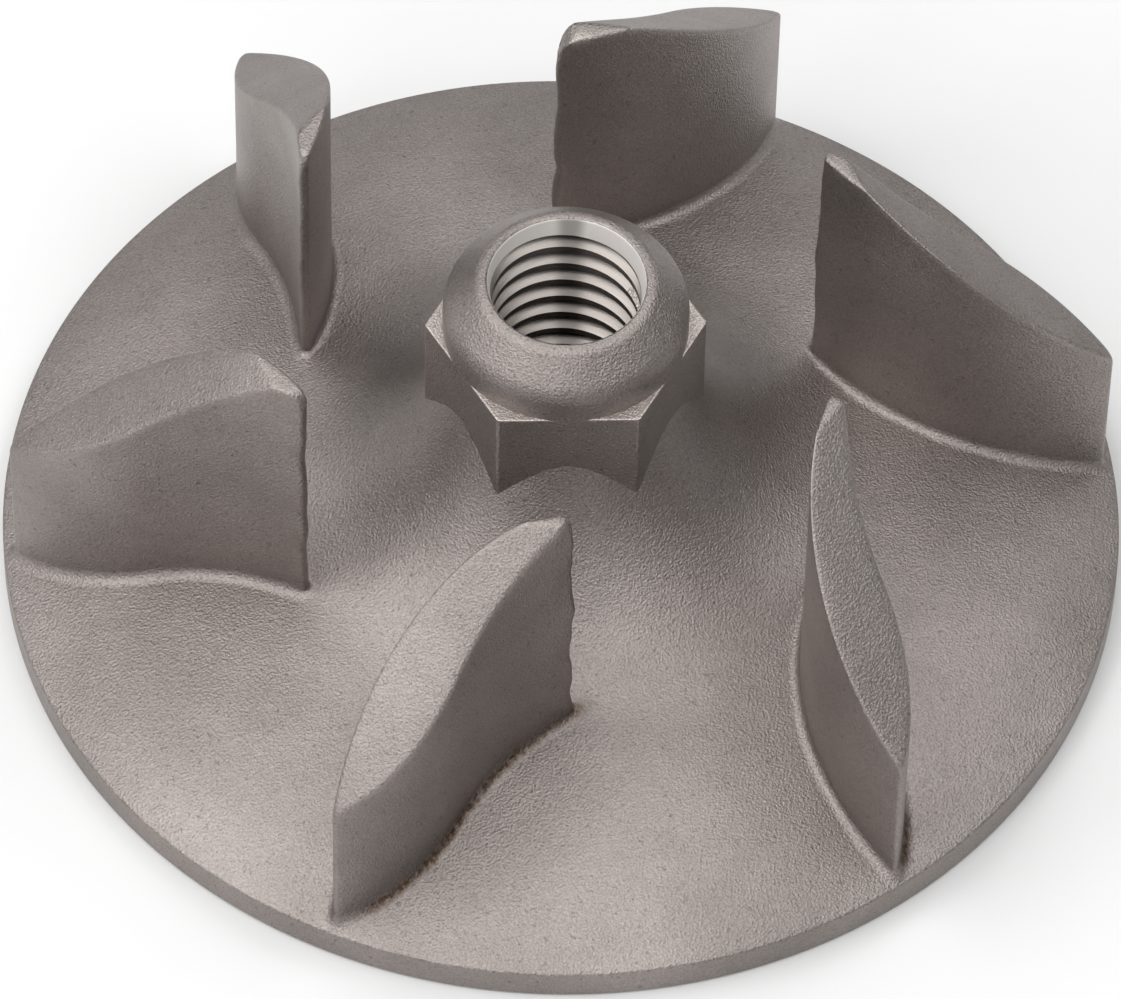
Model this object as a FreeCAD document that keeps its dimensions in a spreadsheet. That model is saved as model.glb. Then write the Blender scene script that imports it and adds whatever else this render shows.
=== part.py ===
import FreeCAD, Part
import math
import os

import Sketcher

# Pump impeller, one casting: a thin round disc whose front face sweeps up into a hexagonal hub
# with a round collar, six curved vanes, and a threaded bore on the axis.
# Z is the shaft axis, the flat back of the disc lies on Z = 0, and all sizes are in millimetres.

SIZES = [
    # disc and flare
    ("disc_radius", 32.5, "rim of the disc"),
    ("rim_thickness", 2.0, "height of the disc's edge"),
    ("face_radius", 49.3, "arc of the domed front face, in section"),
    ("face_crest", 12.2, "distance from the axis where that arc would be level"),
    ("flare_radius", 13.7, "hollow arc between the front face and the hub"),
    ("throat_radius", 6.36, "smallest radius that the hollow arc reaches"),
    # hub
    ("hex_flats", 13.9, "across the flats"),
    ("hex_height", 19.9, "top of the hexagon above the back"),
    ("hex_edge_round", 0.25, "rounding of its six upright edges"),
    ("collar_radius", 7.0, "round collar on the hexagon"),
    ("collar_wall", 1.2, "upright part of the collar's side"),
    ("shoulder_round", 1.8, "rounding between the side and the crown"),
    ("crown_slope", 45.0, "degrees, slope of the crown"),
    ("crown_round", 0.9, "rounding at the crown's top"),
    ("hub_height", 23.8, "top of the crown above the back"),
    # bore, tapped M10 x 1.5: the plain wall here is the tapping drill's
    ("bore_radius", 4.25, "wall at the crests of the thread"),
    ("mouth_radius", 4.55, "lead-in at the crown"),
    ("mouth_depth", 1.6, "length of the lead-in"),
    ("back_chamfer", 0.8, "45 degree chamfer at the back"),
    # vanes, in plan
    ("vane_count", 6, "equally spaced"),
    ("nose_gap", 15.3, "rim to the centre of the leading edge's rounding"),
    ("nose_round", 0.3, "rounding of the leading edge"),
    ("nose_angle", -91.0, "degrees, direction of the first vane's nose"),
    ("tail_gap", 0.9, "rim to the centre of the trailing edge's rounding"),
    ("tail_round", 0.25, "rounding of the trailing edge"),
    ("tail_sweep", 23.83, "degrees, nose to tail, clockwise"),
    ("full_side_radius", 15.3, "arc of the full side"),
    ("hollow_side_radius", 21.7, "arc of the hollow side, next to the nose"),
    ("hook_gap", 7.6, "rim to the point where the hollow turns into the hooked tail"),
    ("hook_sweep", 14.42, "degrees, nose to that point, clockwise"),
    # vanes, in height
    ("nose_height", 25.0, "vane's top at the nose, above the back"),
    ("tail_height", 12.65, "vane's top at the tail, above the back"),
    ("nose_corner", 0.5, "rounding of the top corner at the nose"),
    ("nose_clear", 0.1, "gap from the nose to the wall of the cut that forms the tops"),
    # the upright plane of the turned profiles lies between two vanes and off the hexagon's edges
    ("section_angle", -15.0, "degrees, from X"),
    # finishing
    ("foot_round", 0.8, "fillet where a vane stands on the disc"),
    ("top_round", 0.15, "edges of the vanes' tops"),
    ("rim_round", 0.15, "edges of the rim"),
]

doc = FreeCAD.newDocument("pump_impeller")
sheet = doc.addObject("Spreadsheet::Sheet", "sizes")
size = {}
for row, (alias, value, note) in enumerate(SIZES, start=1):
    sheet.set("A%d" % row, alias)
    sheet.set("B%d" % row, str(value))
    sheet.set("C%d" % row, note)
    sheet.setAlias("B%d" % row, alias)
    size[alias] = value
doc.recompute()

body = doc.addObject("PartDesign::Body", "impeller")
body.Label = "impeller"


def point(x, y):
    return FreeCAD.Vector(x, y, 0)


def polar(reach, degrees):
    return point(reach * math.cos(math.radians(degrees)), reach * math.sin(math.radians(degrees)))


def arc(centre, radius, start, end):
    """Counterclockwise arc about a centre, from the direction of one point to that of another."""
    first = math.atan2(start.y - centre.y, start.x - centre.x)
    last = math.atan2(end.y - centre.y, end.x - centre.x)
    circle = Part.Circle(centre, FreeCAD.Vector(0, 0, 1), radius)
    return Part.ArcOfCircle(circle, first, last)


def along(centre, towards, distance):
    """The point at a distance from a centre, in the direction of another point."""
    step = towards - centre
    return centre + step * (distance / step.Length)


def circles_meet(first, first_radius, second, second_radius):
    """Where two circles meet, on the left of the line from the first centre to the second."""
    gap = second - first
    run = (gap.Length ** 2 + first_radius ** 2 - second_radius ** 2) / (2 * gap.Length)
    rise = math.sqrt(first_radius ** 2 - run ** 2)
    unit = gap * (1 / gap.Length)
    return first + unit * run + point(-unit.y, unit.x) * rise


def plan_sketch(name):
    """A sketch on the flat back."""
    return new_sketch(name, "XY_Plane")


def section_sketch(name):
    """A sketch on the upright plane through the axis that the turned profiles share."""
    sketch = new_sketch(name, "XZ_Plane")
    sketch.AttachmentOffset = FreeCAD.Placement(
        point(0, 0), FreeCAD.Rotation(point(0, 1), size["section_angle"]))
    return sketch


def new_sketch(name, role):
    """A sketch on one of the body's origin planes."""
    sketch = body.newObject("Sketcher::SketchObject", name)
    plane = [item for item in body.Origin.OriginFeatures if item.Role == role][0]
    sketch.AttachmentSupport = [(plane, "")]
    sketch.MapMode = "FlatFace"
    return sketch


def fix(sketch, *parts):
    """Adds a geometric constraint."""
    sketch.addConstraint(Sketcher.Constraint(*parts))


def drive(sketch, name, rule, *parts):
    """Adds a dimension whose value follows the sheet."""
    index = sketch.addConstraint(Sketcher.Constraint(*parts))
    sketch.renameConstraint(index, name)
    sketch.setExpression("Constraints." + name, rule)


def polygon(sketch, corners):
    """Closed loop of lines through the corners; line number n starts at corner n."""
    count = len(corners)
    for n in range(count):
        sketch.addGeometry(Part.LineSegment(corners[n], corners[(n + 1) % count]), False)
    for n in range(count):
        fix(sketch, "Coincident", n, 2, (n + 1) % count, 1)


def turned(kind, name, sketch):
    """A full turn of a profile about Z."""
    feature = body.newObject("PartDesign::" + kind, name)
    feature.Profile = sketch
    feature.ReferenceAxis = (sketch, ["V_Axis"])
    feature.Angle = 360.0
    sketch.Visibility = False
    doc.recompute()
    return feature


# Disc: back, rim, domed front face, and the hollow arc that climbs to the throat inside the hexagon
profile = section_sketch("disc_profile")
rim = point(size["disc_radius"], size["rim_thickness"])
face_drop = math.sqrt(size["face_radius"] ** 2 - (rim.x - size["face_crest"]) ** 2)
face_centre = point(size["face_crest"], rim.y - face_drop)
flare_x = size["throat_radius"] + size["flare_radius"]
arcs_apart = size["face_radius"] + size["flare_radius"]
flare_rise = math.sqrt(arcs_apart ** 2 - (flare_x - face_centre.x) ** 2)
flare_centre = point(flare_x, face_centre.y + flare_rise)
blend = along(face_centre, flare_centre, size["face_radius"])
throat = point(size["throat_radius"], flare_centre.y)
profile.addGeometry([
    Part.LineSegment(point(0, 0), point(rim.x, 0)),
    Part.LineSegment(point(rim.x, 0), rim),
    arc(face_centre, size["face_radius"], rim, blend),
    arc(flare_centre, size["flare_radius"], throat, blend),
    Part.LineSegment(throat, point(0, throat.y)),
    Part.LineSegment(point(0, throat.y), point(0, 0)),
], False)
fix(profile, "Coincident", 0, 1, -1, 1)
fix(profile, "Coincident", 0, 2, 1, 1)
fix(profile, "Coincident", 1, 2, 2, 1)
fix(profile, "Tangent", 2, 2, 3, 2)
fix(profile, "Coincident", 3, 1, 4, 1)
fix(profile, "Coincident", 4, 2, 5, 1)
fix(profile, "Coincident", 5, 2, 0, 1)
fix(profile, "Horizontal", 0)
fix(profile, "Vertical", 1)
fix(profile, "Horizontal", 4)
fix(profile, "Vertical", 5)
fix(profile, "Horizontal", 3, 1, 3, 3)
drive(profile, "disc_radius", "sizes.disc_radius", "DistanceX", 0, 1, 0, 2, rim.x)
drive(profile, "rim_thickness", "sizes.rim_thickness", "DistanceY", 1, 1, 1, 2, rim.y)
drive(profile, "face_radius", "sizes.face_radius", "Radius", 2, size["face_radius"])
drive(profile, "face_crest", "sizes.face_crest", "DistanceX", -1, 1, 2, 3, face_centre.x)
drive(profile, "flare_radius", "sizes.flare_radius", "Radius", 3, size["flare_radius"])
drive(profile, "throat_radius", "sizes.throat_radius", "DistanceX", -1, 1, 3, 1, throat.x)
disc = turned("Revolution", "disc", profile)

# Hexagon of the hub, its sides touching a construction circle and one rounded corner on X
hexagon = plan_sketch("hexagon")
half_flats = size["hex_flats"] / 2
edge_round = size["hex_edge_round"]
edge_reach = (half_flats - edge_round) / math.cos(math.radians(30))
for corner_way in range(0, 360, 60):
    centre = polar(edge_reach, corner_way)
    start = centre + polar(edge_round, corner_way - 30)
    end = centre + polar(edge_round, corner_way + 30)
    onward = polar(edge_reach, corner_way + 60) + polar(edge_round, corner_way + 30)
    hexagon.addGeometry(arc(centre, edge_round, start, end), False)
    hexagon.addGeometry(Part.LineSegment(end, onward), False)
ring = hexagon.addGeometry(Part.Circle(point(0, 0), FreeCAD.Vector(0, 0, 1), half_flats), True)
fix(hexagon, "Coincident", ring, 3, -1, 1)
for n in range(0, 12, 2):
    fix(hexagon, "Tangent", n, 2, n + 1, 1)
    fix(hexagon, "Tangent", n + 1, 2, (n + 2) % 12, 1)
    fix(hexagon, "Tangent", n + 1, ring)
for n in range(2, 12, 2):
    fix(hexagon, "Equal", 0, n)
for n in range(3, 11, 2):
    fix(hexagon, "Equal", 1, n)
fix(hexagon, "PointOnObject", 0, 3, -1)
fix(hexagon, "Horizontal", 3)
drive(hexagon, "hex_flats", "sizes.hex_flats / 2", "Radius", ring, half_flats)
drive(hexagon, "hex_edge_round", "sizes.hex_edge_round", "Radius", 0, edge_round)
hub = body.newObject("PartDesign::Pad", "hexagon_hub")
hub.Profile = hexagon
hub.setExpression("Length", "sizes.hex_height")
hexagon.Visibility = False
doc.recompute()

# Collar on the hexagon: upright side, rounded shoulder, sloping crown and its rounded top
profile = section_sketch("collar_profile")
wall_top = size["hex_height"] + size["collar_wall"]
slope = math.radians(size["crown_slope"])
shoulder = point(size["collar_radius"] - size["shoulder_round"], wall_top)
normal = point(math.sin(slope), math.cos(slope))
slope_start = shoulder + normal * size["shoulder_round"]
crown_y = size["hub_height"] - size["crown_round"]
slope_rise = crown_y + normal.y * size["crown_round"] - slope_start.y
slope_end = slope_start + point(-slope_rise / math.tan(slope), slope_rise)
crown = slope_end - normal * size["crown_round"]
summit = crown + point(0, size["crown_round"])
side_foot = point(size["collar_radius"], size["hex_height"])
side_top = point(size["collar_radius"], wall_top)
profile.addGeometry([
    Part.LineSegment(point(0, side_foot.y), side_foot),
    Part.LineSegment(side_foot, side_top),
    arc(shoulder, size["shoulder_round"], side_top, slope_start),
    Part.LineSegment(slope_start, slope_end),
    arc(crown, size["crown_round"], slope_end, summit),
    Part.LineSegment(summit, point(0, summit.y)),
    Part.LineSegment(point(0, summit.y), point(0, side_foot.y)),
], False)
fix(profile, "PointOnObject", 0, 1, -2)
fix(profile, "Horizontal", 0)
fix(profile, "Coincident", 0, 2, 1, 1)
fix(profile, "Vertical", 1)
fix(profile, "Tangent", 1, 2, 2, 1)
fix(profile, "Tangent", 2, 2, 3, 1)
fix(profile, "Tangent", 3, 2, 4, 1)
fix(profile, "Tangent", 4, 2, 5, 1)
fix(profile, "Horizontal", 5)
fix(profile, "PointOnObject", 5, 2, -2)
fix(profile, "Coincident", 5, 2, 6, 1)
fix(profile, "Coincident", 6, 2, 0, 1)
drive(profile, "hex_height", "sizes.hex_height", "DistanceY", -1, 1, 0, 1, side_foot.y)
drive(profile, "collar_radius", "sizes.collar_radius", "DistanceX", 0, 1, 0, 2, side_foot.x)
drive(profile, "collar_wall", "sizes.collar_wall", "DistanceY", 1, 1, 1, 2, size["collar_wall"])
drive(profile, "shoulder_round", "sizes.shoulder_round", "Radius", 2, size["shoulder_round"])
drive(profile, "crown_slope", "180 - sizes.crown_slope", "Angle", 3, math.pi - slope)
drive(profile, "crown_round", "sizes.crown_round", "Radius", 4, size["crown_round"])
drive(profile, "hub_height", "sizes.hub_height", "DistanceY", -1, 1, 5, 2, summit.y)
collar = turned("Revolution", "collar", profile)

# One vane in plan: rounded nose, full side, rounded tail, hook and hollow side
plan = plan_sketch("vane_plan")
nose_reach = size["disc_radius"] - size["nose_gap"]
tail_reach = size["disc_radius"] - size["tail_gap"]
hook_reach = size["disc_radius"] - size["hook_gap"]
nose = polar(nose_reach, size["nose_angle"])
tail = polar(tail_reach, size["nose_angle"] - size["tail_sweep"])
turn = polar(hook_reach, size["nose_angle"] - size["hook_sweep"])
full_radius = size["full_side_radius"]
hollow_radius = size["hollow_side_radius"]
full_centre = circles_meet(nose, full_radius - size["nose_round"],
                           tail, full_radius - size["tail_round"])
hollow_centre = circles_meet(nose, hollow_radius + size["nose_round"], turn, hollow_radius)
# the hook goes on from the hollow side without a corner, and closes on the tail's rounding
hook_way = (turn - hollow_centre) * (1 / hollow_radius)
reach = turn - tail
hook_radius = ((size["tail_round"] ** 2 - reach.Length ** 2)
               / (2 * (hook_way.dot(reach) + size["tail_round"])))
hook_centre = turn + hook_way * hook_radius
nose_full = along(full_centre, nose, full_radius)
nose_hollow = along(hollow_centre, nose, hollow_radius)
tail_full = along(full_centre, tail, full_radius)
tail_hook = along(hook_centre, tail, hook_radius)
plan.addGeometry([
    arc(nose, size["nose_round"], nose_hollow, nose_full),
    arc(full_centre, full_radius, nose_full, tail_full),
    arc(tail, size["tail_round"], tail_full, tail_hook),
    arc(hook_centre, hook_radius, tail_hook, turn),
    arc(hollow_centre, hollow_radius, nose_hollow, turn),
], False)
plan.addGeometry([Part.LineSegment(point(0, 0), spot) for spot in (nose, tail, turn)], True)
fix(plan, "Tangent", 0, 2, 1, 1)
fix(plan, "Tangent", 1, 2, 2, 1)
fix(plan, "Tangent", 2, 2, 3, 1)
fix(plan, "Tangent", 3, 2, 4, 2)
fix(plan, "Tangent", 4, 1, 0, 1)
for line in (5, 6, 7):
    fix(plan, "Coincident", line, 1, -1, 1)
fix(plan, "Coincident", 5, 2, 0, 3)
fix(plan, "Coincident", 6, 2, 2, 3)
fix(plan, "Coincident", 7, 2, 4, 2)
drive(plan, "nose_round", "sizes.nose_round", "Radius", 0, size["nose_round"])
drive(plan, "full_side", "sizes.full_side_radius", "Radius", 1, full_radius)
drive(plan, "tail_round", "sizes.tail_round", "Radius", 2, size["tail_round"])
drive(plan, "hollow_side", "sizes.hollow_side_radius", "Radius", 4, hollow_radius)
drive(plan, "nose_reach", "sizes.disc_radius - sizes.nose_gap", "Distance", 5, nose_reach)
drive(plan, "tail_reach", "sizes.disc_radius - sizes.tail_gap", "Distance", 6, tail_reach)
drive(plan, "hook_reach", "sizes.disc_radius - sizes.hook_gap", "Distance", 7, hook_reach)
drive(plan, "nose_way", "sizes.nose_angle", "Angle", 5, math.radians(size["nose_angle"]))
drive(plan, "tail_way", "sizes.nose_angle - sizes.tail_sweep", "Angle", 6,
      math.radians(size["nose_angle"] - size["tail_sweep"]))
drive(plan, "hook_way", "sizes.nose_angle - sizes.hook_sweep", "Angle", 7,
      math.radians(size["nose_angle"] - size["hook_sweep"]))
vane = body.newObject("PartDesign::Pad", "vane")
vane.Profile = plan
vane.setExpression("Length", "sizes.nose_height")
plan.Visibility = False
doc.recompute()

vanes = body.newObject("PartDesign::PolarPattern", "vanes")
vanes.Originals = [vane]
vanes.Axis = (plan, ["N_Axis"])
vanes.Angle = 360.0
vanes.setExpression("Occurrences", "sizes.vane_count")
body.Tip = vanes
doc.recompute()

# Every vane's top is cut to one cone about Z, with its corner rounded at the nose
profile = section_sketch("vane_top_profile")
nose_tip = nose_reach - size["nose_round"]
tail_tip = tail_reach + size["tail_round"]
cut_start = nose_tip - size["nose_clear"]
cut_end = size["disc_radius"] + size["rim_thickness"]
cut_top = size["nose_height"] + size["nose_corner"]
fall = (size["nose_height"] - size["tail_height"]) / (tail_tip - nose_tip)
lean = math.atan(fall)


def top_at(x):
    return point(x, size["nose_height"] - fall * (x - nose_tip))


corner_x = cut_start + size["nose_corner"]
corner = top_at(corner_x) - point(0, size["nose_corner"] / math.cos(lean))
corner_end = corner + point(math.sin(lean), math.cos(lean)) * size["nose_corner"]
corner_side = point(cut_start, corner.y)
profile.addGeometry([
    Part.LineSegment(point(cut_start, cut_top), point(cut_end, cut_top)),
    Part.LineSegment(point(cut_end, cut_top), top_at(cut_end)),
    Part.LineSegment(top_at(cut_end), corner_end),
    arc(corner, size["nose_corner"], corner_end, corner_side),
    Part.LineSegment(corner_side, point(cut_start, cut_top)),
], False)
profile.addGeometry([Part.Point(top_at(nose_tip)), Part.Point(top_at(tail_tip))], True)
fix(profile, "Coincident", 0, 2, 1, 1)
fix(profile, "Coincident", 1, 2, 2, 1)
fix(profile, "Tangent", 2, 2, 3, 1)
fix(profile, "Tangent", 3, 2, 4, 1)
fix(profile, "Coincident", 4, 2, 0, 1)
fix(profile, "Horizontal", 0)
fix(profile, "Vertical", 1)
fix(profile, "Vertical", 4)
fix(profile, "PointOnObject", 5, 1, 2)
fix(profile, "PointOnObject", 6, 1, 2)
drive(profile, "nose_tip", "sizes.disc_radius - sizes.nose_gap - sizes.nose_round",
      "DistanceX", -1, 1, 5, 1, nose_tip)
drive(profile, "nose_height", "sizes.nose_height", "DistanceY", -1, 1, 5, 1, size["nose_height"])
drive(profile, "tail_tip", "sizes.disc_radius - sizes.tail_gap + sizes.tail_round",
      "DistanceX", -1, 1, 6, 1, tail_tip)
drive(profile, "tail_height", "sizes.tail_height", "DistanceY", -1, 1, 6, 1, size["tail_height"])
drive(profile, "nose_corner", "sizes.nose_corner", "Radius", 3, size["nose_corner"])
drive(profile, "nose_clear", "sizes.nose_clear", "DistanceX", 0, 1, 5, 1, size["nose_clear"])
drive(profile, "cut_end", "sizes.disc_radius + sizes.rim_thickness",
      "DistanceX", -1, 1, 0, 2, cut_end)
drive(profile, "cut_top", "sizes.nose_height + sizes.nose_corner",
      "DistanceY", -1, 1, 0, 2, cut_top)
turned("Groove", "vane_tops", profile)

# Bore with its lead-in at the crown and the chamfer at the back
profile = section_sketch("bore_profile")
chamfer_x = size["bore_radius"] + size["back_chamfer"]
mouth_y = size["hub_height"] - size["mouth_depth"]
polygon(profile, [
    point(0, 0),
    point(chamfer_x, 0),
    point(size["bore_radius"], size["back_chamfer"]),
    point(size["bore_radius"], mouth_y),
    point(size["mouth_radius"], size["hub_height"]),
    point(0, size["hub_height"]),
])
fix(profile, "Coincident", 0, 1, -1, 1)
fix(profile, "Horizontal", 0)
fix(profile, "Vertical", 2)
fix(profile, "Horizontal", 4)
fix(profile, "Vertical", 5)
drive(profile, "chamfer_x", "sizes.bore_radius + sizes.back_chamfer",
      "DistanceX", 0, 1, 0, 2, chamfer_x)
drive(profile, "bore_radius", "sizes.bore_radius", "DistanceX", -1, 1, 2, 1, size["bore_radius"])
drive(profile, "back_chamfer", "sizes.back_chamfer",
      "DistanceY", 1, 1, 1, 2, size["back_chamfer"])
drive(profile, "mouth_depth", "sizes.mouth_depth", "DistanceY", 3, 1, 3, 2, size["mouth_depth"])
drive(profile, "mouth_radius", "sizes.mouth_radius",
      "DistanceX", -1, 1, 3, 2, size["mouth_radius"])
drive(profile, "hub_height", "sizes.hub_height", "DistanceY", -1, 1, 3, 2, size["hub_height"])
bore = turned("Groove", "bore", profile)


# Rounded edges
def reach_of(edge):
    """Least distance of an edge's ends from the axis."""
    return min(math.hypot(end.X, end.Y) for end in edge.Vertexes)


def upright(edge):
    return edge.BoundBox.XLength < FIT and edge.BoundBox.YLength < FIT


def vane_side_edge(shape, edge):
    """An edge of a vane's upright side that isn't itself upright."""
    if upright(edge) or reach_of(edge) < nose_tip - size["nose_round"]:
        return False
    for face in shape.ancestorsOfType(edge, Part.Face):
        surface = face.Surface
        if isinstance(surface, Part.Cylinder) and math.hypot(*surface.Center[:2]) > FIT:
            return True
    return False


def vane_foot(shape, edge):
    """A lower edge: the tops come down no further than the tail."""
    return vane_side_edge(shape, edge) and edge.BoundBox.ZMax < size["tail_height"]


def vane_top(shape, edge):
    return vane_side_edge(shape, edge) and not vane_foot(shape, edge)


def rim_edge(shape, edge):
    flat = edge.BoundBox.ZLength < FIT
    return flat and abs(reach_of(edge) - size["disc_radius"]) < FIT


FIT = 1e-4  # below this two places are the same
rounded = bore
for name, wanted, alias in [
    ("vane_feet", vane_foot, "foot_round"),
    ("vane_top_edges", vane_top, "top_round"),
    ("rim_edges", rim_edge, "rim_round"),
]:
    shape = rounded.Shape
    picked = [
        "Edge%d" % (n + 1) for n, edge in enumerate(shape.Edges) if wanted(shape, edge)
    ]
    fillet = body.newObject("PartDesign::Fillet", name)
    fillet.Base = (rounded, picked)
    fillet.setExpression("Radius", "sizes." + alias)
    doc.recompute()
    print(name, len(picked), "edges")
    rounded = fillet

# Nothing is written unless every object and the finished solid are sound
for item in doc.Objects:
    if "Invalid" in item.State or "Error" in item.State:
        raise RuntimeError("%s did not build: %s" % (item.Name, item.State))
solid = body.Shape
if solid.isNull() or not solid.isValid() or len(solid.Solids) != 1:
    raise RuntimeError("the impeller is not one sound solid")
print("impeller: volume %.1f mm3, %d faces" % (solid.Volume, len(solid.Faces)))
os.makedirs("parts", exist_ok=True)
solid.exportStep("parts/%s.step" % body.Label)
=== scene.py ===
import math

import bmesh
import bpy
from mathutils import Matrix, Vector, noise


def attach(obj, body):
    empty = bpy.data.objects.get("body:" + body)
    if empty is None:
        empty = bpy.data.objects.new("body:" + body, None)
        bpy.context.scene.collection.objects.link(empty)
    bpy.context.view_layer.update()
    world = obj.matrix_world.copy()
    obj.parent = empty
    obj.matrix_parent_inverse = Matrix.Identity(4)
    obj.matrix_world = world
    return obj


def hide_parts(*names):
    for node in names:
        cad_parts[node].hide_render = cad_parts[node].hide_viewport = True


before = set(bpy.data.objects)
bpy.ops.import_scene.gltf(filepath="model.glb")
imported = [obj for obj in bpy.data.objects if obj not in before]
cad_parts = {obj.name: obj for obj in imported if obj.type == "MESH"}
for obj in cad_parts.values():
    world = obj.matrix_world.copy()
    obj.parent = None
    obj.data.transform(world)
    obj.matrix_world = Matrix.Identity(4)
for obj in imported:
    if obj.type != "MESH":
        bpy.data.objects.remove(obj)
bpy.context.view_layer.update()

# Pump impeller: one bead-blasted casting with a machined, threaded bore.
# It is modelled in millimetres on the CAD model's axes and brought to metres at the end.


def onArc(centre, radius, degrees):
    turn = math.radians(degrees)
    return Vector((centre[0] + radius * math.cos(turn), centre[1] + radius * math.sin(turn), 0))


def lineTo(bm, vert, x, z):  # extends a profile in the XZ plane by a straight line
    end = bmesh.ops.extrude_vert_indiv(bm, verts=[vert])["verts"][0]
    end.co = (x, 0, z)
    return end


def arcTo(bm, vert, x, z, degrees, steps):  # by an arc round x, z, counterclockwise if positive
    spun = bmesh.ops.spin(bm, geom=[vert], cent=(x, 0, z), axis=(0, -1, 0), dvec=(0, 0, 0),
                          angle=math.radians(degrees), steps=steps)
    return [item for item in spun["geom_last"] if isinstance(item, bmesh.types.BMVert)][0]


def startProfile(x, z):
    bm = bmesh.new()
    return bm, bm.verts.new((x, 0, z))


def turnProfile(bm, steps):  # a full turn about Z
    bmesh.ops.spin(bm, geom=bm.verts[:] + bm.edges[:], cent=(0, 0, 0), axis=(0, 0, 1),
                   dvec=(0, 0, 0), angle=2 * math.pi, steps=steps, use_merge=True)
    closeSolid(bm)


def closeSolid(bm):
    bmesh.ops.remove_doubles(bm, verts=bm.verts[:], dist=1e-4)
    bmesh.ops.dissolve_degenerate(bm, edges=bm.edges[:], dist=1e-5)
    bmesh.ops.recalc_face_normals(bm, faces=bm.faces[:])


def newObject(name, bm):
    mesh = bpy.data.meshes.new(name)
    bm.to_mesh(mesh)
    bm.free()
    thing = bpy.data.objects.new(name, mesh)
    bpy.context.scene.collection.objects.link(thing)
    return thing


def combine(target, tool, operation):  # joins a solid to the target, or cuts it out
    modifier = target.modifiers.new(operation.lower(), "BOOLEAN")
    modifier.operation = operation
    modifier.solver = "EXACT"
    modifier.object = tool
    graph = bpy.context.evaluated_depsgraph_get()
    result = bpy.data.meshes.new_from_object(target.evaluated_get(graph))
    target.modifiers.remove(modifier)
    old, target.data = target.data, result
    bpy.data.meshes.remove(old)
    used = tool.data
    bpy.data.objects.remove(tool)
    bpy.data.meshes.remove(used)


# Disc: flat back, rounded rim, domed face, and the hollow flare that climbs to the hub

disc = {
    "radius": 32.49,
    "rimThickness": 2.0,
    "rimRound": 0.2,
    "faceRadius": 49.3,
    "faceCrest": 12.2,
    "flareRadius": 13.7,
    "throatRadius": 6.36,
    "turnSteps": 300,
    "faceSteps": 36,
    "flareSteps": 30,
    "roundSteps": 4,
}


def discArcs():  # centres of the arcs of the front face, in section
    drop = math.sqrt(disc["faceRadius"] ** 2 - (disc["radius"] - disc["faceCrest"]) ** 2)
    face = Vector((disc["faceCrest"], disc["rimThickness"] - drop))
    flareX = disc["throatRadius"] + disc["flareRadius"]
    apart = disc["faceRadius"] + disc["flareRadius"]
    flare = Vector((flareX, face.y + math.sqrt(apart ** 2 - (flareX - face.x) ** 2)))
    rimX = disc["radius"] - disc["rimRound"]
    inner = disc["faceRadius"] - disc["rimRound"]
    rim = Vector((rimX, face.y + math.sqrt(inner ** 2 - (rimX - face.x) ** 2)))
    return face, flare, rim


faceCentre, flareCentre, rimCentre = discArcs()
blendX = faceCentre.x + (flareCentre.x - faceCentre.x) * disc["faceRadius"] / (
    disc["faceRadius"] + disc["flareRadius"])


def faceHeight(reach):  # height of the front face at a distance from the axis
    if reach < blendX:
        side = max(disc["flareRadius"] ** 2 - (reach - flareCentre.x) ** 2, 0)
        return flareCentre.y - math.sqrt(side)
    if reach > rimCentre.x:
        side = max(disc["rimRound"] ** 2 - (reach - rimCentre.x) ** 2, 0)
        return rimCentre.y + math.sqrt(side)
    return faceCentre.y + math.sqrt(disc["faceRadius"] ** 2 - (reach - faceCentre.x) ** 2)


def makeDisc():
    edge = disc["rimRound"]
    bm, vert = startProfile(0, 0)
    vert = lineTo(bm, vert, disc["radius"] - edge, 0)
    vert = arcTo(bm, vert, disc["radius"] - edge, edge, 90, disc["roundSteps"])
    vert = lineTo(bm, vert, disc["radius"], rimCentre.y)
    rimLean = math.degrees(math.asin((rimCentre.x - faceCentre.x)
                                     / (disc["faceRadius"] - disc["rimRound"])))
    vert = arcTo(bm, vert, rimCentre.x, rimCentre.y, 90 - rimLean, disc["roundSteps"])
    blendLean = math.degrees(math.asin((blendX - faceCentre.x) / disc["faceRadius"]))
    vert = arcTo(bm, vert, faceCentre.x, faceCentre.y, rimLean - blendLean, disc["faceSteps"])
    vert = arcTo(bm, vert, flareCentre.x, flareCentre.y, blendLean - 90, disc["flareSteps"])
    lineTo(bm, vert, 0, flareCentre.y)
    turnProfile(bm, disc["turnSteps"])
    return newObject("disc", bm)


# Hub: hexagon and round collar

hub = {
    "flats": 13.9,
    "hexHeight": 19.9,
    "hexFoot": 4.0,
    "hexEdgeRound": 0.25,
    "hexEdgeSteps": 4,
    "hexTopRound": 0.1,
    "hexTopSteps": 2,
    "collarRadius": 7.0,
    "collarWall": 1.2,
    "collarSunk": 0.02,
    "collarRoot": 5.8,               # the part of it that is sunk in the hexagon
    "collarFoot": 12.0,
    "shoulderRound": 1.8,
    "crownSlope": 45.0,
    "crownRound": 0.9,
    "height": 23.8,
    "turnSteps": 192,
    "roundSteps": 8,
}


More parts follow.
